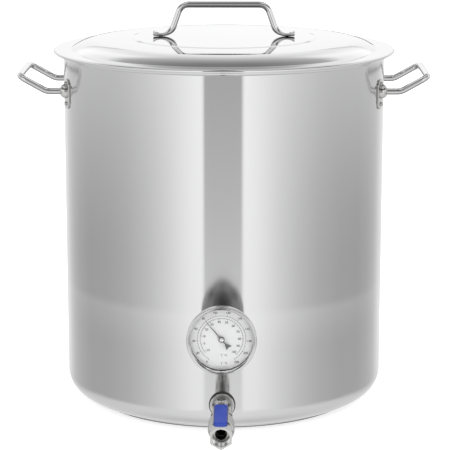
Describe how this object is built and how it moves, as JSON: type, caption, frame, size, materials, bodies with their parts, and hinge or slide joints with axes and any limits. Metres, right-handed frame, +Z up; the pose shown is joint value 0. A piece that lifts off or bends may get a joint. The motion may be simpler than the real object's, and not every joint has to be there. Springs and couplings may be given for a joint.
{
  "type": "brew kettle",
  "caption": "Tall stainless brew kettle with rolled rim, domed lift-off lid, bent tube handles, dial thermometer and a lever ball valve near the base.",
  "frame": {"origin": "centre of the flat base, on the surface the kettle stands on", "axes": "+Z runs up the pot's axis; the valve and the thermometer face -Y; the side handles are on -X and +X"},
  "size_m": [0.5068, 0.581, 0.4986],
  "materials": {
    "shell_steel": "brushed",
    "lid_steel": "polished",
    "polished_steel": "polished",
    "satin_steel": "satin",
    "base_aluminium": "satin",
    "clear_glass": "polished",
    "dial_face": "satin",
    "pointer_black": "satin",
    "brass_metal": "satin",
    "black_rubber": "matte",
    "clear_silicone": "matte",
    "white_ptfe": "matte",
    "blue_vinyl": "gloss"
  },
  "bodies": {
    "pot": {"pot_shell": "shell_steel", "base_cap": "shell_steel", "base_core": "base_aluminium", "left_handle": "polished_steel", "right_handle": "polished_steel", "left_front_bracket": "satin_steel", "left_rear_bracket": "satin_steel", "right_front_bracket": "satin_steel", "right_rear_bracket": "satin_steel", "handle_rivets": "polished_steel", "thermo_case": "polished_steel", "thermo_bezel": "polished_steel", "thermo_lens": "clear_glass", "thermo_lens_gasket": "black_rubber", "thermo_dial": "dial_face", "thermo_bimetal_coil": "brass_metal", "thermo_stem": "satin_steel", "thermo_fitting": "satin_steel", "thermo_outer_washer": "satin_steel", "thermo_outer_seal": "clear_silicone", "thermo_inner_seal": "clear_silicone", "thermo_inner_washer": "satin_steel", "thermo_lock_nut": "satin_steel", "valve_outer_oring": "black_rubber", "valve_inner_oring": "black_rubber", "valve_cup_washer": "satin_steel", "valve_inner_washer": "satin_steel", "valve_lock_nut": "satin_steel", "valve_bulkhead": "satin_steel", "valve_nipple": "satin_steel", "valve_body": "satin_steel", "valve_end_cap": "satin_steel", "valve_body_gasket": "white_ptfe", "valve_inlet_seat": "white_ptfe", "valve_outlet_seat": "white_ptfe", "valve_stem_packing": "white_ptfe", "valve_gland_nut": "satin_steel"},
    "lid": {"lid_shell": "lid_steel", "lid_handle": "polished_steel"},
    "lever": {"valve_ball": "polished_steel", "valve_stem": "satin_steel", "valve_lever": "satin_steel", "lever_washer": "satin_steel", "lever_nut": "satin_steel", "lever_sleeve": "blue_vinyl"},
    "pointer": {"thermo_pointer": "pointer_black", "thermo_pointer_hub": "pointer_black", "thermo_shaft": "satin_steel"}
  },
  "joints": [
    {"name": "lid_lift", "type": "slide", "parent": "pot", "child": "lid", "axis": [0, 0, 1], "range_m": [0, 0.25]},
    {"name": "valve_lever", "type": "hinge", "parent": "pot", "child": "lever", "pos_m": [0, -0.285, 0.039], "axis": [0, 0, 1], "range_deg": [0, 90]},
    {"name": "thermo_needle", "type": "hinge", "parent": "pot", "child": "pointer", "pos_m": [0, -0.253, 0.1347], "axis": [0, 1, 0], "range_deg": [-107.65, 188.35]}
  ]
}
